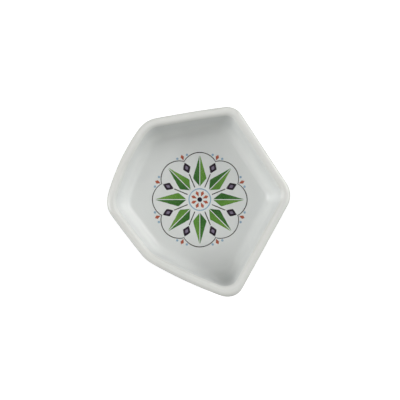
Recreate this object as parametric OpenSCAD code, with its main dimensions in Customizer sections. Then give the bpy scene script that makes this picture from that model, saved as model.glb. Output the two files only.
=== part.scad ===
// Small glazed porcelain condiment dish with a rounded, irregular six-sided plan, a thick rounded rim,
// flared walls, a flat floor with a fired-on star medallion, and a bare foot ring.
// Millimetres. Z is up, z = 0 is the table. Plan corners run clockwise seen from above.

/* [Plan] */
// Corner 1 (rear right), X
corner_1_x = 25; // [22:0.5:27]
// Corner 1 (rear right), Y
corner_1_y = 66; // [63:0.5:69]
// Corner 2 (right), X
corner_2_x = 65; // [62:0.5:68]
// Corner 2 (right), Y
corner_2_y = 5; // [2:0.5:8]
// Corner 3 (front), X
corner_3_x = 24.5; // [22:0.5:27]
// Corner 3 (front), Y
corner_3_y = -68.5; // [-71:0.5:-66]
// Corner 4 (front left), X
corner_4_x = -35.5; // [-38:0.5:-33]
// Corner 4 (front left), Y
corner_4_y = -41; // [-44:0.5:-38]
// Corner 5 (left), X
corner_5_x = -65.5; // [-68:0.5:-63]
// Corner 5 (left), Y
corner_5_y = -2; // [-5:0.5:1]
// Corner 6 (rear left), X
corner_6_x = -39; // [-42:0.5:-36]
// Corner 6 (rear left), Y
corner_6_y = 55.5; // [53:0.5:58]
// Rounding radius at corner 1
radius_1 = 11.5; // [10:0.5:14]
// Rounding radius at corner 2
radius_2 = 14.5; // [11:0.5:17]
// Rounding radius at corner 3
radius_3 = 11.5; // [10:0.5:14]
// Rounding radius at corner 4
radius_4 = 21.5; // [16:0.5:24]
// Rounding radius at corner 5
radius_5 = 15.5; // [12:0.5:18]
// Rounding radius at corner 6
radius_6 = 17; // [13:0.5:20]
// Bow radius of the side from corner 3 to 4
bow_34 = 315; // [250:5:900]
// Bow radius of the side from corner 4 to 5
bow_45 = 700; // [300:10:2000]
// Bow radius of the side from corner 5 to 6
bow_56 = 145; // [120:5:600]
// Bow radius of the side from corner 6 to 1
bow_61 = 775; // [300:5:2000]

/* [Inner corners] */
// Rounding radius of the inner wall just below the rim at corner 1
inner_radius_1 = 7.5; // [6:0.5:9.5]
// Rounding radius of the inner wall just below the rim at corner 2
inner_radius_2 = 10; // [8.5:0.5:12]
// Rounding radius of the inner wall just below the rim at corner 3
inner_radius_3 = 9.5; // [8:0.5:11.5]
// Rounding radius of the inner wall just below the rim at corner 4
inner_radius_4 = 18; // [16.5:0.5:20]
// Rounding radius of the inner wall just below the rim at corner 5
inner_radius_5 = 10; // [8.5:0.5:12]
// Rounding radius of the inner wall just below the rim at corner 6
inner_radius_6 = 11.5; // [10:0.5:13.5]
// Rounding radius of the flat floor at corner 1
floor_radius_1 = 19; // [17:0.5:21]
// Rounding radius of the flat floor at corner 2
floor_radius_2 = 8; // [6:0.5:10]
// Rounding radius of the flat floor at corner 3
floor_radius_3 = 11.5; // [9.5:0.5:13.5]
// Rounding radius of the flat floor at corner 4
floor_radius_4 = 25; // [23:0.5:27]
// Rounding radius of the flat floor at corner 5
floor_radius_5 = 9.5; // [7.5:0.5:11.5]
// Rounding radius of the flat floor at corner 6
floor_radius_6 = 13; // [11:0.5:15]

/* [Section] */
// Height of the rim above the table
rim_h = 32; // [30:0.5:34]
// Width of the rim, from its outer edge to the inner wall
rim_w = 6.2; // [5.9:0.1:7]
// Rounding radius of the rim's outer edge
rim_ro = 2.8; // [2.2:0.1:3]
// Rounding radius of the rim's inner edge
rim_ri = 2.7; // [2.2:0.1:2.8]
// Flare of the inner wall just below the rim, degrees from vertical
flare_in = 10; // [8:1:14]
// Flare of the outer wall from vertical, degrees
flare_out = 20; // [18:1:21]
// Height of the floor's surface
floor_z = 5.5; // [5:0.1:6.5]
// Distance of the flat floor from the plan's edge, where the concave inner wall ends
floor_in = 15; // [14.5:0.5:16.5]
// Rounding radius at the bottom of the outer wall
base_r = 8; // [6:0.5:8.5]

/* [Foot] */
// Height of the foot ring
foot_h = 2; // [1.6:0.1:2.4]
// Distance of the foot ring from the plan's edge
foot_in = 18; // [18:0.5:20]
// Width of the foot ring
foot_w = 3.4; // [2.8:0.2:5]
// Depth of the recess inside the foot ring
recess_h = 1.8; // [1.5:0.1:2.2]
// Height of the bare clay on the foot ring
bare_h = 0.9; // [0.6:0.1:1.1]

/* [Glaze] */
// Thickness of the glaze
glaze_t = 0.3; // [0.2:0.05:0.4]

/* [Medallion] */
// Medallion centre, X
star_x = 1; // [-1:0.5:3]
// Medallion centre, Y
star_y = 2.5; // [1:0.5:4]
// Number of star points
points = 8; // [6:1:8]
// Radius at the root of a star point
point_r0 = 9.5; // [9:0.5:11]
// Radius at the widest place of a star point
point_rw = 15; // [14:0.5:17]
// Radius at the tip of a star point
point_r1 = 31; // [28:0.5:31.5]
// Widest half of a star point, from its ridge to its edge
point_half = 4.6; // [3:0.1:4.8]
// Width of the bare ridge between the halves of a point
ridge_w = 0.5; // [0.3:0.1:0.8]
// Half length of a lozenge
lozenge_l = 4; // [3:0.1:4]
// Half width of a lozenge
lozenge_w = 2.8; // [2:0.1:3]
// Distance of the lozenges from the centre
lozenge_at = 24; // [23:0.1:24]
// Greatest radius of the scalloped line
scallop_r = 33.2; // [33:0.1:33.3]
// Width of a line
line_w = 0.7; // [0.5:0.1:0.8]
// Thickness of a colour film
film_t = 0.1; // [0.08:0.01:0.15]

/* [Hidden] */
CORNER_STEPS = 6;   // points on a rounded corner
SIDE_STEPS = 4;     // points along a side
WALL_H = 0.4;       // share of the wall's depth over which it keeps its direction below the rim
WALL_L = 0.7;       // share of the wall's width over which it runs out flat into the floor
BASE_K = 0.25;      // share of the inset taken off the outer corner radii

CORNER = [[corner_1_x, corner_1_y], [corner_2_x, corner_2_y], [corner_3_x, corner_3_y],
          [corner_4_x, corner_4_y], [corner_5_x, corner_5_y], [corner_6_x, corner_6_y]];
RADIUS = [radius_1, radius_2, radius_3, radius_4, radius_5, radius_6];
INNER = [inner_radius_1, inner_radius_2, inner_radius_3, inner_radius_4, inner_radius_5, inner_radius_6];
FLOOR = [floor_radius_1, floor_radius_2, floor_radius_3, floor_radius_4, floor_radius_5, floor_radius_6];
BOW = [0, 0, bow_34, bow_45, bow_56, bow_61];   // 0 is a straight side
SIDES = len(CORNER);

// ---- plan outlines -------------------------------------------------------------------------------
function nxt(i) = (i + 1) % SIDES;
function prv(i) = (i + SIDES - 1) % SIDES;
function turned(v, a) = [v.x * cos(a) - v.y * sin(a), v.x * sin(a) + v.y * cos(a)];
ALONG = [for (i = [0:SIDES - 1]) (CORNER[nxt(i)] - CORNER[i]) / norm(CORNER[nxt(i)] - CORNER[i])];
INWARD = [for (u = ALONG) [u.y, -u.x]];
TURN = [for (i = [0:SIDES - 1]) acos(min(1, ALONG[prv(i)] * ALONG[i]))];

// Corner i after both of its sides move inwards by d
function inset_corner(i, d) =
    let (a = INWARD[prv(i)], b = INWARD[i], ca = a * CORNER[i] + d, cb = b * CORNER[i] + d,
         det = a.x * b.y - a.y * b.x)
    [(ca * b.y - cb * a.y) / det, (a.x * cb - b.x * ca) / det];

// Cubic through q and p with the end directions s and e
function corner_points(q, s, p, e) =
    let (phi = acos(min(1, s * e)), k = norm(p - q) / (2 * sin(phi / 2)) * 4 / 3 * tan(phi / 4),
         b = q + s * k, c = p - e * k)
    [for (j = [0:CORNER_STEPS - 1]) let (w = j / CORNER_STEPS, v = 1 - w)
        v * v * v * q + 3 * v * v * w * b + 3 * v * w * w * c + w * w * w * p];

// Bowed side from p, with direction u, length l and rise b
function side_points(p, u, l, b) =
    [for (j = [0:SIDE_STEPS - 1]) let (w = j / SIDE_STEPS)
        p + u * (w * l) + [-u.y, u.x] * (4 * b * w * (1 - w))];

// Closed plan outline moved inwards by d, with the corner radii r
function outline(d, r) =
    let (w = [for (i = [0:SIDES - 1]) inset_corner(i, d)],
         t = [for (i = [0:SIDES - 1]) max(r[i], 1) * tan(TURN[i] / 2)],
         q = [for (i = [0:SIDES - 1]) w[i] - ALONG[prv(i)] * t[i]],
         p = [for (i = [0:SIDES - 1]) w[i] + ALONG[i] * t[i]],
         l = [for (i = [0:SIDES - 1]) norm(q[nxt(i)] - p[i])],
         u = [for (i = [0:SIDES - 1]) (q[nxt(i)] - p[i]) / l[i]],
         b = [for (i = [0:SIDES - 1]) BOW[i] == 0 ? 0 : l[i] * l[i] / (8 * (BOW[i] - d))],
         a = [for (i = [0:SIDES - 1]) 2 * atan2(2 * b[i], l[i])])
    [for (i = [0:SIDES - 1]) each concat(
        corner_points(q[i], turned(u[prv(i)], -a[prv(i)]), p[i], turned(u[i], a[i])),
        side_points(p[i], u[i], l[i], b[i]))];

// ---- section ------------------------------------------------------------------------------------
// Corner radii of the outer side, and of the rim and the inner wall, at the inset d
function ease(a, b, x) = let (t = max(0, min(1, (x - a) / (b - a)))) t * t * (3 - 2 * t);
function outer_radii(d) = [for (r = RADIUS) r - BASE_K * d];
function inner_radii(d) =
    let (top = outer_radii(rim_ro), a = ease(rim_ro, rim_w, d), b = ease(rim_w, floor_in, d))
    top + (INNER - top) * a + (FLOOR - INNER) * b;

// Each station is [inset, height, corner radii]. e is the depth below the glazed surface.
function arc(cx, cz, r, a0, a1, n) =
    [for (j = [0:n]) let (a = a0 + (a1 - a0) * j / n) [cx + r * cos(a), cz + r * sin(a)]];

RIM_X0 = rim_ro * (1 - cos(flare_out));
RIM_Z0 = rim_h - rim_ro * (1 + sin(flare_out));
BASE_Z = foot_h + base_r * (1 - sin(flare_out));
BASE_X = RIM_X0 + (RIM_Z0 - BASE_Z) * tan(flare_out) + base_r * cos(flare_out);
WALL_A = [rim_w - rim_ri * (1 - cos(flare_in)), rim_h - rim_ri * (1 - sin(flare_in))];   // top of the inner wall
WALL_D = [floor_in, floor_z];                                                            // edge of the flat floor
WALL_B = WALL_A + [sin(flare_in), -cos(flare_in)] * (WALL_A.y - WALL_D.y) * WALL_H;
WALL_C = WALL_D - [(WALL_D.x - WALL_A.x) * WALL_L, 0];

// Concave inner wall, from below its top to the floor
function wall(e, n) =
    [for (j = [1:n]) let (w = j / n, v = 1 - w,
         s = v * v * v * WALL_A + 3 * v * v * w * WALL_B + 3 * v * w * w * WALL_C + w * w * w * WALL_D,
         g = v * v * (WALL_B - WALL_A) + 2 * v * w * (WALL_C - WALL_B) + w * w * (WALL_D - WALL_C))
        s + [g.y, -g.x] * e / norm(g)];

function outside(e) = [for (s = concat(
    arc(BASE_X, foot_h + base_r, base_r - e, 270, 180 + flare_out, 6),
    arc(rim_ro, rim_h - rim_ro, rim_ro - e, 180 + flare_out, 90, 7))) [s.x, s.y, outer_radii(s.x)]];
function inside(e) = [for (s = concat(
    arc(rim_w - rim_ri, rim_h - rim_ri, rim_ri - e, 90, flare_in, 6), wall(e, 9)))
    [s.x, s.y, inner_radii(s.x)]];
function foot(e, z) = let (d = foot_in + e) [[d, z, outer_radii(d)], [d, foot_h + e, outer_radii(d)]];

function section(e, z) = concat(foot(e, z), outside(e), inside(e));
function rings(stations) = [for (s = stations) [for (p = outline(s[0], s[2])) [p.x, p.y, s[1]]]];
function backwards(v) = [for (i = [len(v) - 1:-1:0]) v[i]];

// Closed solid through a list of rings with as many points each. Below ring "fold" the quads split the other way.
module loft(r, fold = 0) {
    n = len(r[0]);
    m = len(r);
    polyhedron(
        points = [for (ring = r) each ring],
        faces = concat(
            [[for (i = [n - 1:-1:0]) i]],
            [for (j = [0:m - 2], i = [0:n - 1]) let (k = (i + 1) % n, a = j * n, b = (j + 1) * n)
                each (j < fold ? [[a + i, a + k, b + i], [a + k, b + k, b + i]]
                               : [[a + i, a + k, b + k], [a + i, b + k, b + i]])],
            [[for (i = [0:n - 1]) (m - 1) * n + i]]),
        convexity = 6);
}

// ---- medallion ----------------------------------------------------------------------------------
function polar(r, a) = [r * cos(a), r * sin(a)];
STEP = 360 / points;
GAP_A = STEP / 2;       // direction half way between two star points
SCALLOP_D = 4.4;        // depth of the scallops
SPOKE_R0 = 9.2;         // inner end of a spoke
DROP_R0 = 29.9;         // inner end of an outer kite
DROP_R1 = 34;           // outer end of an outer kite

// One half of a star point, on the side s of its ridge
module point_side(s) {
    g = s * ridge_w / 2;
    polygon([[point_r0, g], [point_r1, g], [point_rw, g + s * point_half]]);
}
module kite(r0, rw, r1, w) {
    polygon([[r0, 0], [rw, w], [r1, 0], [rw, -w]]);
}
module lozenge(l, w) {
    polygon([[l, 0], [0, w], [-l, 0], [0, -w]]);
}
// Area inside a scalloped line, with an arch over each star point
module scallop(off) {
    n = 24 * points;
    polygon([for (j = [0:n - 1]) let (a = 360 * j / n)
        polar(scallop_r - SCALLOP_D * (1 - pow(abs(cos(a * points / 2)), 0.8)) + off, a)]);
}
// A film of the medallion, at a layer above the floor
module film(layer = 0) {
    translate([star_x, star_y, floor_z + layer * film_t]) linear_extrude(height = film_t) children();
}
module around() {
    for (k = [0:points - 1]) rotate(k * STEP) children();
}

// ---- pieces -------------------------------------------------------------------------------------
// Porcelain body with its floor, walls, rim and foot ring
module dish_body() {
    color([0.93, 0.90, 0.84]) difference() {
        loft(rings(section(glaze_t, 0)));
        translate([0, 0, -1]) linear_extrude(height = 1 + recess_h)
            polygon(outline(foot_in + foot_w, outer_radii(foot_in + foot_w)));
    }
}

// Glaze from the side of the foot, over the rim, to the whole floor
module glaze_coat() {
    under = backwards(section(glaze_t, bare_h));
    color([0.88, 0.89, 0.87]) loft(rings(concat(under, section(0, bare_h))), len(under) - 1);
}

// Glaze inside the foot ring
module base_glaze() {
    a = foot_in + foot_w;
    b = a + glaze_t;
    color([0.88, 0.89, 0.87]) difference() {
        translate([0, 0, bare_h]) linear_extrude(height = recess_h - bare_h) polygon(outline(a, outer_radii(a)));
        linear_extrude(height = recess_h - glaze_t) polygon(outline(b, outer_radii(b)));
    }
}

// Left half of every star point
module print_dark_green() {
    color([0.16, 0.35, 0.13]) film() around() point_side(1);
}

// Right half of every star point
module print_light_green() {
    color([0.37, 0.58, 0.24]) film() around() point_side(-1);
}

// Scalloped line around the star, and the spokes of the lozenges
module print_brown_lines() {
    spoke_l = lozenge_at - lozenge_l - 0.6 - SPOKE_R0;
    color([0.12, 0.09, 0.07]) film() {
        difference() {
            scallop(line_w / 2);
            scallop(-line_w / 2);
        }
        around() rotate(GAP_A) translate([SPOKE_R0, -line_w / 2]) square([spoke_l, line_w]);
    }
}

// Lozenges between the star points, and the middle of the centre
module print_purple_lozenges() {
    color([0.15, 0.09, 0.16]) film() {
        around() translate(polar(lozenge_at, GAP_A)) rotate(GAP_A) lozenge(lozenge_l, lozenge_w);
        circle(r = 1.7, $fn = 48);
    }
}

// Small lozenges on the large ones
module print_lilac_lozenges() {
    color([0.50, 0.45, 0.55]) film(1) around()
        translate(polar(lozenge_at, GAP_A)) rotate(GAP_A) lozenge(lozenge_l * 0.42, lozenge_w * 0.42);
}

// Kites around the centre, and one outside each lozenge
module print_terracotta() {
    color([0.73, 0.33, 0.24]) film() around() rotate(GAP_A) {
        kite(2.3, 4.9, 6.4, 1.2);
        kite(DROP_R0, 32.4, DROP_R1, 1.3);
    }
}

// Ring around the centre, and pairs of small dots along the edge
module print_pale_blue() {
    color([0.60, 0.72, 0.82]) film() {
        difference() {
            circle(r = 8, $fn = 96);
            circle(r = 7.1, $fn = 96);
        }
        around() for (s = [-1, 1]) translate(polar(32.7, GAP_A + 6.4 * s)) circle(r = 0.85, $fn = 32);
    }
}

dish_body();
glaze_coat();
base_glaze();
print_dark_green();
print_light_green();
print_brown_lines();
print_purple_lozenges();
print_lilac_lozenges();
print_terracotta();
print_pale_blue();
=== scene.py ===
import math

import bmesh
import bpy
import numpy as np
from mathutils import Matrix, Vector


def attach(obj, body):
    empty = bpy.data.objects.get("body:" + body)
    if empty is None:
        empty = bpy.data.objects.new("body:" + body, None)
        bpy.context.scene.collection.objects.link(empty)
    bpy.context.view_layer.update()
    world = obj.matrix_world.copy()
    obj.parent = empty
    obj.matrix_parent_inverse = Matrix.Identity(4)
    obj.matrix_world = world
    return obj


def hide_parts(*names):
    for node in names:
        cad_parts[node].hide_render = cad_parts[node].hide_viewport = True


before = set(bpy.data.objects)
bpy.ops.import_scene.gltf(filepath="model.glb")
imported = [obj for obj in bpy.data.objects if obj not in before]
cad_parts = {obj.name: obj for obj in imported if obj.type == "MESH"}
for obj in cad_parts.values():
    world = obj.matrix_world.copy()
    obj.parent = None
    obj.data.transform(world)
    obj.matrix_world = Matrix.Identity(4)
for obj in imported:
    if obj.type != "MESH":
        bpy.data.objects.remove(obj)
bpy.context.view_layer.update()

MM = 0.001

# ---- sizes in millimetres, as in the CAD model -------------------------------------------------------
CORNER = np.array([[25.0, 66.0], [65.0, 5.0], [24.5, -68.5], [-35.5, -41.0], [-65.5, -2.0], [-39.0, 55.5]])
RADIUS = np.array([11.5, 14.5, 11.5, 21.5, 15.5, 17.0])
INNER = np.array([7.5, 10.0, 9.5, 18.0, 10.0, 11.5])          # below the rim
FLOOR = np.array([19.0, 8.0, 11.5, 25.0, 9.5, 13.0])           # at the edge of the flat floor
BOW = [0.0, 0.0, 315.0, 700.0, 145.0, 775.0]
RIM_H, RIM_W, RIM_RO, RIM_RI = 32.0, 6.2, 2.8, 2.7
FLARE_IN, FLARE_OUT = 10.0, 20.0
FLOOR_Z, FLOOR_IN, BASE_R = 5.5, 15.0, 8.0
FOOT_H, FOOT_IN, FOOT_W, RECESS_H, BARE_H = 2.0, 18.0, 3.4, 1.8, 0.9
GLAZE_T = 0.3
WALL_H, WALL_L, BASE_K = 0.4, 0.70, 0.25
NC, NS = 20, 20          # points on a rounded corner and along a side
RING = 6 * (NC + NS)

CENTRE = np.array([1.0, 2.5])          # medallion
POINTS, POINT_R0, POINT_RW, POINT_R1, POINT_HALF, RIDGE_W = 8, 9.5, 15.0, 31.0, 4.6, 0.5
LOZENGE_L, LOZENGE_W, LOZENGE_AT = 4.0, 2.8, 24.0
SCALLOP_R, SCALLOP_D, SPOKE_R0, LINE_W, FILM_T = 33.2, 4.4, 9.2, 0.7, 0.1
STEP = 360.0 / POINTS
GAP_A = STEP / 2


# ---- plan outlines -------------------------------------------------------------------------------------
ALONG = np.array([(CORNER[(i + 1) % 6] - CORNER[i]) / np.linalg.norm(CORNER[(i + 1) % 6] - CORNER[i]) for i in range(6)])
INWARD = np.c_[ALONG[:, 1], -ALONG[:, 0]]
TURN = [math.acos(min(1.0, float(ALONG[i - 1] @ ALONG[i]))) for i in range(6)]


def turned(v, a):
    c, s = math.cos(a), math.sin(a)
    return np.array([v[0] * c - v[1] * s, v[0] * s + v[1] * c])


def outline(inset, radii):
    """Closed plan outline moved inwards, with these corner radii, clockwise from above."""
    q, p = [], []
    for i in range(6):
        a, b = INWARD[i - 1], INWARD[i]
        w = np.linalg.solve(np.array([a, b]), [a @ CORNER[i] + inset, b @ CORNER[i] + inset])
        t = max(radii[i], 1.0) * math.tan(TURN[i] / 2)
        q.append(w - ALONG[i - 1] * t)
        p.append(w + ALONG[i] * t)
    enter, leave, side = [None] * 6, [None] * 6, []
    for i in range(6):
        far = q[(i + 1) % 6]
        length = np.linalg.norm(far - p[i])
        u = (far - p[i]) / length
        rise = 0.0 if BOW[i] == 0 else length * length / (8 * (BOW[i] - inset))
        lean = 2 * math.atan2(2 * rise, length)
        leave[i], enter[(i + 1) % 6] = turned(u, lean), turned(u, -lean)
        w = np.linspace(0, 1, NS, endpoint=False)
        side.append(p[i] + np.outer(w * length, u) + np.outer(4 * rise * w * (1 - w), [-u[1], u[0]]))
    points = []
    for i in range(6):
        phi = math.acos(min(1.0, float(enter[i] @ leave[i])))
        k = np.linalg.norm(p[i] - q[i]) / (2 * math.sin(phi / 2)) * 4 / 3 * math.tan(phi / 4)
        w = np.linspace(0, 1, NC, endpoint=False)[:, None]
        b, c = q[i] + enter[i] * k, p[i] - leave[i] * k
        points += [(1 - w) ** 3 * q[i] + 3 * (1 - w) ** 2 * w * b + 3 * (1 - w) * w * w * c + w ** 3 * p[i], side[i]]
    return np.vstack(points)


# ---- section -------------------------------------------------------------------------------------------
def arc(cx, cz, r, a0, a1, n):
    a = np.radians(np.linspace(a0, a1, n + 1))
    return np.c_[cx + r * np.cos(a), cz + r * np.sin(a)]


def between(a, b, n):
    """n points strictly between two points."""
    w = np.linspace(0, 1, n + 2)[1:-1, None]
    return np.asarray(a) + (np.asarray(b) - np.asarray(a)) * w


S_IN, C_IN = math.sin(math.radians(FLARE_IN)), math.cos(math.radians(FLARE_IN))
S_OUT, C_OUT = math.sin(math.radians(FLARE_OUT)), math.cos(math.radians(FLARE_OUT))
BASE_X = RIM_RO * (1 - C_OUT) + (RIM_H - RIM_RO * (1 + S_OUT) - FOOT_H - BASE_R * (1 - S_OUT)) * S_OUT / C_OUT + BASE_R * C_OUT
WALL_A = np.array([RIM_W - RIM_RI * (1 - C_IN), RIM_H - RIM_RI * (1 - S_IN)])
WALL_D = np.array([FLOOR_IN, FLOOR_Z])
WALL_B = WALL_A + np.array([S_IN, -C_IN]) * (WALL_A[1] - WALL_D[1]) * WALL_H
WALL_C = WALL_D - np.array([(WALL_D[0] - WALL_A[0]) * WALL_L, 0.0])


def wall(e, n):
    """Concave inner wall from below the rim to the floor, at depth e."""
    w = np.linspace(0, 1, n + 1)[1:, None]
    v = 1 - w
    s = v ** 3 * WALL_A + 3 * v * v * w * WALL_B + 3 * v * w * w * WALL_C + w ** 3 * WALL_D
    g = v * v * (WALL_B - WALL_A) + 2 * v * w * (WALL_C - WALL_B) + w * w * (WALL_D - WALL_C)
    return s + np.c_[g[:, 1], -g[:, 0]] * e / np.linalg.norm(g, axis=1)[:, None]


def smooth(a, b, x):
    t = np.clip((x - a) / (b - a), 0, 1)
    return t * t * (3 - 2 * t)


def outer_radii(x):
    return RADIUS - BASE_K * x


def inner_radii(x):
    """Corner radii over the rim and down the inner wall."""
    top = outer_radii(RIM_RO)
    return top + (INNER - top) * smooth(RIM_RO, RIM_W, x) + (FLOOR - INNER) * smooth(RIM_W, FLOOR_IN, x)


def outside(e, fine):
    """Outer side, from the bottom rounding to the top of the rim."""
    a = arc(BASE_X, FOOT_H + BASE_R, BASE_R - e, 270, 180 + FLARE_OUT, 6 * fine)
    b = arc(RIM_RO, RIM_H - RIM_RO, RIM_RO - e, 180 + FLARE_OUT, 90, 7 * fine)
    s = np.vstack([a, between(a[-1], b[0], 4 * fine), b])
    return [(x, z, outer_radii(x)) for x, z in s]


def inside(e, fine):
    """Inner side, from the top of the rim to the edge of the flat floor."""
    x1 = RIM_W - RIM_RI
    flat = between([RIM_RO, RIM_H - e], [x1, RIM_H - e], 1)
    s = np.vstack([flat, arc(x1, RIM_H - RIM_RI, RIM_RI - e, 90, FLARE_IN, 6 * fine), wall(e, 14 * fine)])
    return [(x, z, inner_radii(x)) for x, z in s]


def hand_made(v):
    """Slight unevenness of the wall, growing towards the rim. It only moves points inwards and down."""
    a = np.arctan2(v[:, 1], v[:, 0])
    up = smooth(7.0, 32.0, v[:, 2])
    dip = 0.5 + 0.26 * np.sin(2 * a + 0.6) + 0.16 * np.sin(3 * a + 2.1) + 0.08 * np.sin(7 * a + 4.0)
    pull = 0.5 + 0.24 * np.sin(3 * a + 1.3) + 0.17 * np.sin(5 * a + 5.2) + 0.09 * np.sin(11 * a + 0.4)
    out = v.copy()
    out[:, 2] -= 0.2 * up * dip
    out[:, :2] *= (1 - up * (0.0004 + 0.0022 * pull))[:, None]
    return out


def ring_stack(stations):
    return [np.c_[outline(s[0], s[2]), np.full(RING, s[1])] for s in stations]


def flat_rings(ring, shares=(0.95, 0.87, 0.76, 0.63, 0.49, 0.35, 0.21, 0.08)):
    """Rings that shrink in their own plane towards the middle."""
    c = ring.mean(0)
    return [c + (ring - c) * f for f in shares]


def add_object(name, verts, faces, material):
    me = bpy.data.meshes.new(name)
    me.from_pydata((np.asarray(verts) * MM).tolist(), [], faces)
    bm = bmesh.new()
    bm.from_mesh(me)
    bmesh.ops.recalc_face_normals(bm, faces=bm.faces)
    bm.to_mesh(me)
    bm.free()
    me.polygons.foreach_set("use_smooth", [True] * len(me.polygons))
    me.materials.append(material)
    me.update()
    ob = bpy.data.objects.new(name, me)
    bpy.context.scene.collection.objects.link(ob)
    return ob


def put_float(ob, name, values):
    ob.data.attributes.new(name, "FLOAT", "POINT").data.foreach_set("value", np.asarray(values, np.float32))


def put_vector(ob, name, values):
    ob.data.attributes.new(name, "FLOAT_VECTOR", "POINT").data.foreach_set("vector", np.asarray(values, np.float32).ravel())


def shell(first, second):
    """Closed surface of two stacks of rings that share their rim and each end in a middle point."""
    verts, faces = [], []
    for part, stack in enumerate((first, second)):
        base = len(verts)
        for r in stack:
            verts.extend(r)
        m = len(stack)
        for j in range(m - 1):
            for i in range(RING):
                k = (i + 1) % RING
                faces.append((base + j * RING + i, base + (j + 1) * RING + i, base + (j + 1) * RING + k, base + j * RING + k))
        last = base + (m - 1) * RING
        verts.append(stack[-1].mean(0))
        for i in range(RING):
            faces.append((last + i, len(verts) - 1, last + (i + 1) % RING))
        if part == 0:
            other = len(verts)
    for i in range(RING):
        k = (i + 1) % RING
        faces.append((i, k, other + k, other + i))
    return np.array(verts), faces


# ---- materials -----------------------------------------------------------------------------------------
class Look:
    """Small helper around a material's nodes."""

    def __init__(self, name):
        self.mat = bpy.data.materials.new(name)
        self.mat.use_nodes = True
        self.nodes, self.links = self.mat.node_tree.nodes, self.mat.node_tree.links
        self.bsdf = self.nodes["Principled BSDF"]

    def node(self, kind, **settings):
        n = self.nodes.new(kind)
        for k, v in settings.items():
            setattr(n, k, v)
        return n

    def feed(self, socket, value):
        if isinstance(value, bpy.types.NodeSocket):
            self.links.new(value, socket)
        else:
            socket.default_value = value

    def math(self, op, a, b=0.0, c=0.0, clamp=False):
        n = self.node("ShaderNodeMath", operation=op, use_clamp=clamp)
        for s, v in zip(n.inputs, (a, b, c)):
            self.feed(s, v)
        return n.outputs[0]

    def span(self, x, a, b, c=0.0, d=1.0, soft=False):
        n = self.node("ShaderNodeMapRange", interpolation_type="SMOOTHSTEP" if soft else "LINEAR")
        for s, v in zip(n.inputs, (x, a, b, c, d)):
            self.feed(s, v)
        return n.outputs[0]

    def noise(self, vector, scale, detail=2.0, rough=0.5):
        n = self.node("ShaderNodeTexNoise")
        self.feed(n.inputs["Vector"], vector)
        n.inputs["Scale"].default_value = scale
        n.inputs["Detail"].default_value = detail
        n.inputs["Roughness"].default_value = rough
        return n.outputs["Fac"]

    def place(self):
        return self.node("ShaderNodeTexCoord").outputs["Object"]

    def attribute(self, name, output="Fac"):
        return self.node("ShaderNodeAttribute", attribute_name=name).outputs[output]

    def ramp(self, x, stops):
        n = self.node("ShaderNodeValToRGB")
        e = n.color_ramp.elements
        while len(e) < len(stops):
            e.new(0.5)
        for s, (p, c) in zip(e, stops):
            s.position = p
            s.color = (*c, 1.0)
        self.feed(n.inputs[0], x)
        return n.outputs[0]

    def mix(self, f, a, b, how="MIX"):
        n = self.node("ShaderNodeMix", data_type="RGBA", blend_type=how)
        self.feed(n.inputs[0], f)
        for s, v in ((n.inputs[6], a), (n.inputs[7], b)):
            self.feed(s, v if isinstance(v, bpy.types.NodeSocket) else (*v, 1.0))
        return n.outputs[2]

    def bump(self, height, distance, strength=1.0, under=None):
        n = self.node("ShaderNodeBump")
        n.inputs["Strength"].default_value = strength
        n.inputs["Distance"].default_value = distance
        self.links.new(height, n.inputs["Height"])
        if under is not None:
            self.links.new(under, n.inputs["Normal"])
        return n.outputs["Normal"]

    def set(self, **values):
        for k, v in values.items():
            self.feed(self.bsdf.inputs[k.replace("_", " ")], v)


def white_glaze():
    """Glossy off-white glaze: cooler where it lies thick, warmer where the coat is thinner, with faint specks and
    orange peel. The flat floor is also painted lighter than the walls, as painted light from above.
    """
    m = Look("white_glaze")
    at = m.place()
    thin_and_painted_light = m.attribute("thin_and_painted_light")
    cloud = m.noise(at, 38.0, 3.0, 0.55)
    tone = m.math("MULTIPLY_ADD", m.math("SUBTRACT", cloud, 0.5), 0.5, thin_and_painted_light)
    # The first stop, which the flat floor takes, is painted light: lighter than the walls to stand in for light from
    # above. The other stops follow the glaze's thickness.
    white = m.ramp(tone, ((0.0, (0.866, 0.885, 0.864)), (0.2, (0.818, 0.838, 0.828)), (0.5, (0.828, 0.844, 0.826)), (1.0, (0.880, 0.885, 0.834))))
    cells = m.node("ShaderNodeTexVoronoi", feature="F1")
    m.feed(cells.inputs["Vector"], at)
    cells.inputs["Scale"].default_value = 210.0
    pick = m.node("ShaderNodeSeparateColor")
    m.links.new(cells.outputs["Color"], pick.inputs[0])
    chosen = m.math("GREATER_THAN", pick.outputs[0], 0.95)
    size = m.span(pick.outputs[1], 0.0, 1.0, 0.012, 0.034)
    speck = m.math("MULTIPLY", chosen, m.span(m.math("DIVIDE", cells.outputs["Distance"], size), 0.55, 1.0, 0.42, 0.0, soft=True))
    m.set(Base_Color=m.mix(speck, white, (0.36, 0.31, 0.25)))
    m.set(Roughness=m.span(m.noise(at, 120.0, 3.0, 0.6), 0.3, 0.7, 0.10, 0.19))
    wave = m.bump(m.noise(at, 75.0, 1.0), 0.00005, 0.6)
    m.set(Normal=m.bump(m.noise(at, 850.0, 2.0), 0.000006, 0.6, wave))
    m.set(IOR=1.6)
    return m.mat


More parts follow.
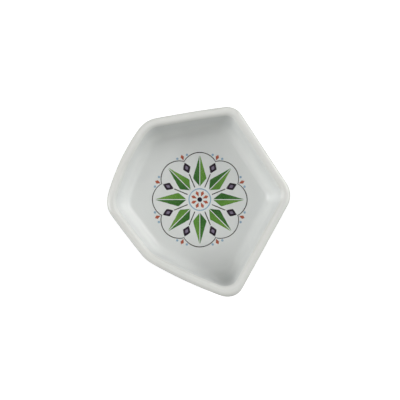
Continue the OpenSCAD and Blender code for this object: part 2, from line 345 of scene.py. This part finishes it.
def bare_porcelain():
    """Unglazed fired clay: matt cream with a fine grain and pores."""
    m = Look("bare_porcelain")
    at = m.place()
    grain = m.noise(at, 2600.0, 4.0, 0.65)
    cloud = m.noise(at, 130.0, 3.0, 0.55)
    body = m.ramp(m.math("MULTIPLY_ADD", m.math("SUBTRACT", grain, 0.5), 0.7, cloud),
                  ((0.25, (0.60, 0.54, 0.45)), (0.5, (0.74, 0.69, 0.60)), (0.75, (0.80, 0.76, 0.68))))
    pores = m.node("ShaderNodeTexVoronoi", feature="F1")
    m.feed(pores.inputs["Vector"], at)
    pores.inputs["Scale"].default_value = 900.0
    pore = m.span(pores.outputs["Distance"], 0.08, 0.2, 0.55, 0.0, soft=True)
    m.set(Base_Color=m.mix(pore, body, (0.40, 0.34, 0.27)))
    m.set(Roughness=m.span(grain, 0.3, 0.7, 0.62, 0.88))
    m.set(Normal=m.bump(grain, 0.00004, 0.7, m.bump(pores.outputs["Distance"], 0.00003, 0.5)))
    return m.mat


def enamel(name, stops, along=0.0, streak=0.5, edge=0.25, fine=9.0, rough=(0.16, 0.30)):
    """Fired-on colour laid with a brush: streaks along each stroke, a darker pooled edge and small mottling."""
    m = Look(name)
    brush = m.node("ShaderNodeSeparateXYZ")
    m.links.new(m.attribute("brush", "Vector"), brush.inputs[0])
    u, v, ident = brush.outputs
    track = m.node("ShaderNodeCombineXYZ")
    m.feed(track.inputs[0], m.math("MULTIPLY", u, 2.2))
    m.feed(track.inputs[1], m.math("MULTIPLY", v, fine * 0.5))
    m.feed(track.inputs[2], m.math("MULTIPLY", ident, 17.3))
    lines = m.noise(track.outputs[0], 1.6, 4.0, 0.6)
    mottle = m.noise(m.place(), 900.0, 3.0, 0.6)
    pooled = m.span(m.math("ABSOLUTE", v), 0.72, 1.0, 0.0, edge, soft=True)
    tone = m.math("MULTIPLY_ADD", m.math("SUBTRACT", lines, 0.5), 2.0 * streak, 0.5)
    tone = m.math("MULTIPLY_ADD", m.math("SUBTRACT", u, 0.5), along, tone)
    tone = m.math("MULTIPLY_ADD", m.math("SUBTRACT", mottle, 0.5), 0.35, tone)
    tone = m.math("SUBTRACT", tone, pooled, clamp=True)
    m.set(Base_Color=m.ramp(tone, stops))
    m.set(Roughness=m.span(mottle, 0.3, 0.7, *rough))
    m.set(Normal=m.bump(lines, 0.00003, 0.6, m.bump(mottle, 0.000008, 0.6)))
    m.set(IOR=1.5)
    return m.mat


GLAZE = white_glaze()
CLAY = bare_porcelain()
DARK_GREEN = enamel("dark_green_enamel", ((0.0, (0.016, 0.070, 0.012)), (0.5, (0.044, 0.165, 0.028)), (1.0, (0.115, 0.310, 0.052))), along=0.35)
LIGHT_GREEN = enamel("light_green_enamel", ((0.0, (0.060, 0.195, 0.024)), (0.5, (0.128, 0.315, 0.046)), (1.0, (0.300, 0.500, 0.105))), along=0.4)
BROWN = enamel("brown_enamel", ((0.0, (0.006, 0.004, 0.003)), (0.5, (0.018, 0.011, 0.008)), (1.0, (0.060, 0.038, 0.024))), fine=5.0)
PURPLE = enamel("purple_enamel", ((0.0, (0.006, 0.003, 0.008)), (0.5, (0.018, 0.009, 0.020)), (1.0, (0.070, 0.034, 0.072))), fine=5.0, streak=0.6)
LILAC = enamel("lilac_enamel", ((0.0, (0.110, 0.085, 0.140)), (0.5, (0.230, 0.190, 0.270)), (1.0, (0.380, 0.340, 0.420))), fine=5.0)
TERRACOTTA = enamel("terracotta_enamel", ((0.0, (0.260, 0.045, 0.022)), (0.5, (0.470, 0.105, 0.055)), (1.0, (0.640, 0.230, 0.130))), along=0.3)
BLUE = enamel("blue_enamel", ((0.0, (0.200, 0.340, 0.470)), (0.5, (0.330, 0.480, 0.610)), (1.0, (0.520, 0.660, 0.760))), fine=6.0)

PIECES = []


def finish_piece(ob, node):
    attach(ob, "root")
    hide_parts(node)
    PIECES.append(ob)
    return ob


# ---- glaze coat: from the side of the foot, over the rim, to the whole floor ---------------------------
def wavy_edge(stack, count, size):
    """Lifts the first rings a little, unevenly round the dish, as the wiped edge of the glaze runs."""
    a = np.arctan2(stack[0][:, 1], stack[0][:, 0])
    lift = 0.5 + 0.22 * np.sin(5 * a + 0.7) + 0.15 * np.sin(11 * a + 2.2) + 0.13 * np.sin(23 * a + 4.4)
    for j in range(count):
        stack[j][:, 2] += size * lift * (1 - j / count)
    return stack


skin = [(FOOT_IN + 0.30, BARE_H), (FOOT_IN + 0.17, BARE_H + 0.01), (FOOT_IN + 0.07, BARE_H + 0.06), (FOOT_IN + 0.015, BARE_H + 0.15),
        (FOOT_IN, BARE_H + 0.27), (FOOT_IN, FOOT_H - 0.55)]
skin += [tuple(p) for p in arc(FOOT_IN - 0.55, FOOT_H - 0.55, 0.55, 0, 90, 6)[1:]]
skin += [tuple(p) for p in between([FOOT_IN - 0.55, FOOT_H], [BASE_X, FOOT_H], 2)]
skin = [(x, z, outer_radii(x)) for x, z in skin]
out_e, in_e = outside(0.0, 2), inside(0.0, 2)
visible = wavy_edge(ring_stack(skin + out_e + in_e), 6, 0.22)
thin_and_painted_light = [0.6] * 5 + [0.35] * (len(skin) - 5)
for x, z, _ in out_e:
    thin_and_painted_light.append(0.35 + 0.5 * float(smooth(24, 30.5, z)))
for x, z, _ in in_e:
    top = float(smooth(28.0, 31.6, z))
    thin_and_painted_light.append(0.30 * float(smooth(6.5, 26.0, z)) + 0.5 * top)
visible += flat_rings(visible[-1])
# The flat floor gets 0, the lightest tone, which is painted light from above; the other values follow the glaze's
# thickness.
thin_and_painted_light += [0.0] * 8
under = [(FOOT_IN + GLAZE_T + 0.004, BARE_H + 0.02, outer_radii(FOOT_IN + GLAZE_T)), (FOOT_IN + GLAZE_T, FOOT_H - 0.2, outer_radii(FOOT_IN + GLAZE_T)),
         (FOOT_IN + GLAZE_T, FOOT_H + GLAZE_T, outer_radii(FOOT_IN + GLAZE_T))]
hidden = wavy_edge(ring_stack(under + outside(GLAZE_T, 1) + inside(GLAZE_T, 1)), 1, 0.22)
hidden += flat_rings(hidden[-1])
v, f = shell(visible, hidden)
glaze = add_object("white_glaze_coat", hand_made(v), f, GLAZE)
per = np.concatenate([np.repeat(thin_and_painted_light, RING), [0.0], np.zeros(len(hidden) * RING + 1)])
put_float(glaze, "thin_and_painted_light", per)
finish_piece(glaze, "glaze_coat")

# ---- porcelain body with its bare foot ring ------------------------------------------------------------
depth = GLAZE_T + 0.012
fx = FOOT_IN + GLAZE_T
foot_out = [(fx + 0.40, 0.0), (fx + 0.24, 0.035), (fx + 0.10, 0.12), (fx + 0.025, 0.25), (fx, 0.42), (fx, BARE_H + 0.3), (fx + 0.012, FOOT_H - 0.2), (fx + 0.012, FOOT_H + depth)]
gx = FOOT_IN + FOOT_W
foot_inner = [(gx - 0.40, 0.0), (gx - 0.24, 0.035), (gx - 0.10, 0.12), (gx - 0.025, 0.25), (gx, 0.42), (gx, BARE_H + 0.2), (gx - 0.012, RECESS_H - 0.3), (gx - 0.012, RECESS_H + 0.012)]
top = ring_stack([(x, z, outer_radii(x)) for x, z in foot_out] + outside(depth, 1) + inside(depth, 1))
top += flat_rings(top[-1])
low = ring_stack([(x, z, outer_radii(x)) for x, z in foot_inner])
low += flat_rings(low[-1])
v, f = shell(top, low)
body = add_object("porcelain_body", hand_made(v), f, CLAY)
finish_piece(body, "dish_body")

# ---- glaze in the recess of the foot -------------------------------------------------------------------
bx = gx + GLAZE_T
seen = [(gx, BARE_H), (gx + 0.13, BARE_H + 0.01), (gx + 0.23, BARE_H + 0.06), (gx + 0.285, BARE_H + 0.15)]
z1 = RECESS_H - GLAZE_T
seen += [tuple(p) for p in arc(bx + 0.32, z1 - 0.32, 0.32, 180, 90, 6)]
seen = wavy_edge(ring_stack([(x, z, outer_radii(x)) for x, z in seen]), 4, 0.12)
seen += flat_rings(seen[-1])
back = wavy_edge(ring_stack([(gx - 0.004, BARE_H + 0.02, outer_radii(gx)), (gx - 0.004, RECESS_H, outer_radii(gx))]), 1, 0.12)
back += flat_rings(back[-1])
v, f = shell(seen, back)
recess = add_object("foot_recess_glaze", v, f, GLAZE)
put_float(recess, "thin_and_painted_light", np.concatenate([np.full(4 * RING, 0.6), np.full(len(v) - 4 * RING, 0.12)]))
finish_piece(recess, "base_glaze")


# ---- medallion -----------------------------------------------------------------------------------------
def polar(r, a):
    return np.array([r * math.cos(math.radians(a)), r * math.sin(math.radians(a))])


def spin(points, a):
    c, s = math.cos(math.radians(a)), math.sin(math.radians(a))
    return np.c_[points[:, 0] * c - points[:, 1] * s, points[:, 0] * s + points[:, 1] * c]


def shake(t, seed, size):
    """Small, smooth, repeatable wobble of a painted edge."""
    k = np.array([3.1, 5.7, 9.3, 15.1])
    w = np.array([0.45, 0.28, 0.17, 0.10])
    phase = np.array([1.7, 4.1, 2.9, 0.8]) * (seed * 1.618 + 0.37)
    return size * (np.sin(np.outer(np.asarray(t, float), 2 * np.pi * k / 2.6) + phase) @ w)


ACROSS = np.array([-1.0, -0.95, -0.85, -0.66, -0.35, 0.0, 0.35, 0.66, 0.85, 0.95, 1.0])


class Film:
    """One colour of the medallion, a fine domed layer on the floor, collected stroke by stroke."""

    def __init__(self, layer=0):
        self.v, self.f, self.b = [], [], []
        self.z0 = FLOOR_Z + layer * FILM_T

    def grid(self, xy, height, brush, closed):
        """Closed slab over a grid of points: xy is (n, m, 2), height (n, m) from 0 to 1."""
        n, m = xy.shape[:2]
        base = len(self.v)
        for z in (self.z0 + FILM_T * np.clip(height, 0.12, 1.0), np.full((n, m), self.z0 - 0.012)):
            self.v.extend(np.concatenate([xy + CENTRE, z[..., None]], -1).reshape(-1, 3))
            self.b.extend(brush.reshape(-1, 3))
        top, low = base, base + n * m
        rows = n if closed else n - 1
        for i in range(rows):
            k = (i + 1) % n
            for j in range(m - 1):
                q = (i * m + j, k * m + j, k * m + j + 1, i * m + j + 1)
                self.f.append(tuple(top + x for x in q))
                self.f.append(tuple(low + x for x in q[::-1]))
        edge = [[(i * m, ((i + 1) % n) * m) for i in range(rows)], [((i + 1) % n * m + m - 1, i * m + m - 1) for i in range(rows)]]
        if not closed:
            edge += [[(j + 1, j) for j in range(m - 1)], [((n - 1) * m + j, (n - 1) * m + j + 1) for j in range(m - 1)]]
        for run in edge:
            for a, b in run:
                self.f.append((low + a, low + b, top + b, top + a))

    def strip(self, left, right, seed, closed=False, ends=0.35):
        """A stroke between two edges."""
        n = len(left)
        t = np.linspace(0, 1, n, endpoint=not closed)
        share = (ACROSS + 1) / 2
        xy = left[:, None, :] + (right - left)[:, None, :] * share[None, :, None]
        wide = np.linalg.norm(right - left, axis=1)
        dome = 1 - 0.8 * smooth(0.72, 1.0, np.abs(ACROSS)) ** 1.5
        height = np.outer(smooth(0.0, 0.5, wide), dome)
        if not closed:
            run = np.r_[0, np.cumsum(np.linalg.norm(np.diff((left + right) / 2, axis=0), axis=1))]
            near = np.minimum(run, run[-1] - run)
            height *= (0.25 + 0.75 * smooth(0.0, ends, near))[:, None]
        brush = np.stack(np.broadcast_arrays(t[:, None], ACROSS[None, :], np.full((n, 1), seed)), -1)
        self.grid(xy, height, brush, closed)

    def dab(self, at, rx, ry, turn, seed, n=72, power=2.0, wobble=1.0):
        """A round dab, or with a power near 1 a lozenge, with a slightly uneven edge."""
        a = np.linspace(0, 2 * np.pi, n, endpoint=False)
        wob = 1 - wobble * np.abs(0.020 * np.sin(2 * a + seed * 2.3) + 0.014 * np.sin(3 * a + seed * 5.1) + 0.008 * np.sin(5 * a + seed * 7.7))
        c, d = np.cos(a), np.sin(a)
        c, d = np.sign(c) * np.abs(c) ** (2 / power), np.sign(d) * np.abs(d) ** (2 / power)
        ring = spin(np.c_[rx * c, ry * d] * wob[:, None], turn)
        share = np.array([1.0, 0.97, 0.91, 0.80, 0.62, 0.40, 0.18])
        base = len(self.v)
        m = len(share)
        dome = 1 - 0.8 * smooth(0.74, 1.0, share) ** 1.5
        for z, low in ((self.z0 + FILM_T * dome, False), (np.full(m, self.z0 - 0.012), True)):
            for s, h in zip(share, z):
                p = ring * s + at + CENTRE
                self.v.extend(np.c_[p, np.full(n, h)])
                u = 0.5 + 0.5 * s * np.cos(a)
                self.b.extend(np.c_[u, np.full(n, s), np.full(n, seed)])
            self.v.append(np.array([*(at + CENTRE), z[-1]]))
            self.b.append(np.array([0.5, 0.0, seed]))
        half = m * n + 1
        for part in (0, 1):
            o = base + part * half
            for j in range(m - 1):
                for i in range(n):
                    k = (i + 1) % n
                    q = (o + j * n + i, o + j * n + k, o + (j + 1) * n + k, o + (j + 1) * n + i)
                    self.f.append(q if part == 0 else q[::-1])
            for i in range(n):
                k = (i + 1) % n
                q = (o + (m - 1) * n + i, o + (m - 1) * n + k, o + m * n)
                self.f.append(q if part == 0 else q[::-1])
        for i in range(n):
            k = (i + 1) % n
            self.f.append((base + half + i, base + half + k, base + k, base + i))

    def piece(self, name, material, node, slot):
        ob = add_object(name, np.array(self.v), self.f, material)
        put_vector(ob, "brush", np.array(self.b))
        return finish_piece(ob, node)


def soft_peak(r, r0, rw, r1, soft):
    """Straight rise from r0 to 1 at rw and straight fall to r1, with its peak a little rounded."""
    a, b = (r - r0) / (rw - r0), (r1 - r) / (r1 - rw)
    return np.maximum(0.0, 0.5 * (a + b - np.sqrt((a - b) ** 2 + soft ** 2)))


def star_side(sign, seed):
    """Ridge edge and outer edge of one half of a star point."""
    r = np.r_[np.linspace(POINT_R0, POINT_RW + 2, 34)[:-1], np.linspace(POINT_RW + 2, POINT_R1, 46)]
    t = (r - POINT_R0) / (POINT_R1 - POINT_R0)
    wide = POINT_HALF * soft_peak(r, POINT_R0, POINT_RW, POINT_R1, 0.10)
    free = smooth(0.0, 0.3, wide / POINT_HALF)
    inner = RIDGE_W / 2 + np.abs(shake(t, seed, 0.07)) * free
    outer = RIDGE_W / 2 + 0.05 + wide - np.abs(shake(t * 1.4, seed + 3.1, 0.17)) * free
    outer = np.maximum(outer, inner + 0.05)
    return np.c_[r, sign * inner], np.c_[r, sign * outer]


def kite(film, r0, rw, r1, w, turn, seed):
    r = np.linspace(r0, r1, 40)
    t = (r - r0) / (r1 - r0)
    half = w * soft_peak(r, r0, rw, r1, 0.16) * (1 - np.abs(shake(t, seed, 0.10))) + 0.04
    sway = shake(t, seed + 1.9, 0.06) * np.sin(np.pi * t)
    film.strip(spin(np.c_[r, sway + half], turn), spin(np.c_[r, sway - half], turn), seed, ends=0.5)


dark, light, brown, purple, lilac, terra, blue = Film(), Film(), Film(), Film(), Film(1), Film(), Film()
for k in range(POINTS):
    turn = k * STEP
    a, b = star_side(1, 1.0 + k)
    dark.strip(spin(a, turn), spin(b, turn), 0.11 + k * 0.37)
    a, b = star_side(-1, 21.0 + k)
    light.strip(spin(a, turn), spin(b, turn), 0.53 + k * 0.41)
    r = np.linspace(SPOKE_R0, LOZENGE_AT - LOZENGE_L - 0.6, 40)
    t = np.linspace(0, 1, 40)
    half = LINE_W / 2 * (1 - np.abs(shake(t, 41.0 + k, 0.22)))
    sway = shake(t, 47.0 + k, 0.05)
    brown.strip(spin(np.c_[r, sway + half], turn + GAP_A), spin(np.c_[r, sway - half], turn + GAP_A), 0.2 + k * 0.29, ends=0.5)
    at = polar(LOZENGE_AT, GAP_A + turn)
    purple.dab(at, LOZENGE_L, LOZENGE_W, GAP_A + turn, 0.7 + k * 0.61, n=88, power=1.12)
    lilac.dab(at, LOZENGE_L * 0.42, LOZENGE_W * 0.42, GAP_A + turn, 0.3 + k * 0.47, n=56, power=1.15)
    kite(terra, 2.3, 4.9, 6.4, 1.2, GAP_A + turn, 61.0 + k)
    kite(terra, 29.9, 32.4, 34.0, 1.3, GAP_A + turn, 81.0 + k)
    for s in (-1, 1):
        blue.dab(polar(32.7, GAP_A + 6.4 * s + turn), 0.85, 0.85, 0.0, 0.15 + k * 0.33 + s * 0.05, n=40)
purple.dab(np.zeros(2), 1.7, 1.7, 0.0, 9.1)
n = 8 * 48
t = np.arange(n) / n
a = 2 * np.pi * t
mid = SCALLOP_R - SCALLOP_D * (1 - np.abs(np.cos(a * POINTS / 2)) ** 0.8)
thick = LINE_W / 2 * (0.90 + 0.10 * np.sin(9 * a + 0.5) * np.sin(4 * a))
brown.strip(np.c_[(mid - thick) * np.cos(a), (mid - thick) * np.sin(a)], np.c_[(mid + thick) * np.cos(a), (mid + thick) * np.sin(a)], 3.3, closed=True)
t = np.linspace(0, 1, 160, endpoint=False)
a = 2 * np.pi * t
lo = 7.1 + 0.045 * np.sin(3 * a + 0.4) + 0.03 * np.sin(7 * a + 2.0) + 0.07
hi = 8.0 + 0.045 * np.sin(4 * a + 1.1) + 0.03 * np.sin(9 * a + 0.3) - 0.07
blue.strip(np.c_[lo * np.cos(a), lo * np.sin(a)], np.c_[hi * np.cos(a), hi * np.sin(a)], 4.4, closed=True)

dark.piece("star_dark_halves", DARK_GREEN, "print_dark_green", "dark_green_enamel")
light.piece("star_light_halves", LIGHT_GREEN, "print_light_green", "light_green_enamel")
brown.piece("medallion_lines", BROWN, "print_brown_lines", "brown_enamel")
purple.piece("medallion_lozenges", PURPLE, "print_purple_lozenges", "purple_enamel")
lilac.piece("small_lozenges", LILAC, "print_lilac_lozenges", "lilac_enamel")
terra.piece("medallion_kites", TERRACOTTA, "print_terracotta", "terracotta_enamel")
blue.piece("medallion_ring_and_dots", BLUE, "print_pale_blue", "blue_enamel")

# ---- floor, light and camera ---------------------------------------------------------------------------
def prop(name, verts, faces, tone, glow, seen):
    """A plain part of the studio: either only seen by the camera, or only there to throw light back."""
    m = Look(name)
    m.set(Base_Color=(tone, tone, tone, 1.0), Roughness=0.7, Emission_Color=(1.0, 1.0, 1.0, 1.0), Emission_Strength=glow)
    me = bpy.data.meshes.new(name)
    me.from_pydata(verts, [], faces)
    me.materials.append(m.mat)
    ob = bpy.data.objects.new(name, me)
    bpy.context.scene.collection.objects.link(ob)
    ob.visible_camera = seen
    if seen:
        ob.visible_diffuse = ob.visible_glossy = ob.visible_transmission = ob.visible_shadow = False
    return ob


def square(z):
    return [(-6.0, -6.0, z), (6.0, -6.0, z), (6.0, 6.0, z), (-6.0, 6.0, z)]


# The pale floor and backdrop that are seen are lifted to white, and a matt sheet throws the light back on the dish
ground = prop("pale_floor", square(-0.0001), [(0, 1, 2, 3)], 0.86, 0.56, True)
matt = prop("matt_sheet", square(-0.0002), [(0, 1, 2, 3)], 0.70, 0.0, False)
post = [(5.8 * math.cos(math.radians(6 * i)), 5.8 * math.sin(math.radians(6 * i))) for i in range(60)]
backdrop = prop("backdrop", [(x, y, -0.05) for x, y in post] + [(x, y, 4.0) for x, y in post],
                [(i, (i + 1) % 60, 60 + (i + 1) % 60, 60 + i) for i in range(60)], 0.86, 1.0, True)

scene = bpy.context.scene
world = bpy.data.worlds.new("studio")
scene.world = world
world.use_nodes = True
world.node_tree.nodes["Background"].inputs[0].default_value = (1.0, 1.0, 1.0, 1.0)
world.node_tree.nodes["Background"].inputs[1].default_value = 0.08

# Soft round lamps far away: width in degrees, compass direction from +Y over +X, height above the table, strength
LAMPS = [
    (32, 270, 22, 1.011), (32, 60, 22, 0.630), (60, 90, 50, 0.390), (32, 54, 42, 0.197), (32, 270, 42, 0.209),
    (32, 300, 65, 0.190), (32, 240, 65, 0.155), (32, 0, 65, 0.160), (32, 90, 22, 0.200),
]
# Strip lights, which draw the narrow glints in the glaze: direction, height, strength at the dish
STRIPS = [
    (67.5, 26, 0.150), (90, 26, 0.150), (270, 26, 0.150), (67.5, 34, 0.150),
    (90, 34, 0.150), (247.5, 34, 0.139), (225, 46, 0.111),
]
STRIP_AT, STRIP_LONG, STRIP_HIGH = 1.5, 1.2, 0.10


def hang(lamp, az, el, far):
    ob = bpy.data.objects.new(lamp.name, lamp)
    scene.collection.objects.link(ob)
    a, e = math.radians(az), math.radians(el)
    way = Vector((math.sin(a) * math.cos(e), math.cos(a) * math.cos(e), math.sin(e)))
    ob.location = way * far
    ob.rotation_mode = "QUATERNION"
    ob.rotation_quaternion = (-way).to_track_quat("-Z", "Y")
    ob.visible_camera = False


for n, (wide, az, el, power) in enumerate(LAMPS):
    lamp = bpy.data.lights.new("lamp_%d" % n, "SUN")
    lamp.energy = power
    lamp.angle = math.radians(wide)
    hang(lamp, az, el, 2.0)
for n, (az, el, power) in enumerate(STRIPS):
    lamp = bpy.data.lights.new("strip_%d" % n, "AREA")
    lamp.shape = "RECTANGLE"
    lamp.size, lamp.size_y = STRIP_LONG, STRIP_HIGH
    lamp.energy = power * math.pi * STRIP_AT ** 2
    hang(lamp, az, el, STRIP_AT)

PIXEL = 129 / 189.3 * MM          # one pixel of the 400 x 400 picture, at the rim
DISTANCE, TILT_X, TILT_Y = 0.8, -0.8, 3.0          # tilts from straight above, towards the right and towards the front
camera = bpy.data.cameras.new("camera")
camera.sensor_width = 36.0
camera.lens = 36.0 * DISTANCE / (400 * PIXEL)
camera.clip_start, camera.clip_end = 0.01, 50.0
eye = bpy.data.objects.new("camera", camera)
scene.collection.objects.link(eye)
aim = Vector(((200 - 198.8) * PIXEL, -(200 - 201.4) * PIXEL, (RIM_H - 3) * MM))
away = Vector((math.tan(math.radians(TILT_X)), -math.tan(math.radians(TILT_Y)), 1.0)).normalized()
right = Vector((0.0, 1.0, 0.0)).cross(away).normalized()
eye.location = aim + away * DISTANCE
eye.rotation_mode = "QUATERNION"
eye.rotation_quaternion = Matrix((right, away.cross(right), away)).transposed().to_quaternion()
scene.camera = eye
scene.view_settings.view_transform = "Standard"
scene.view_settings.look = "None"
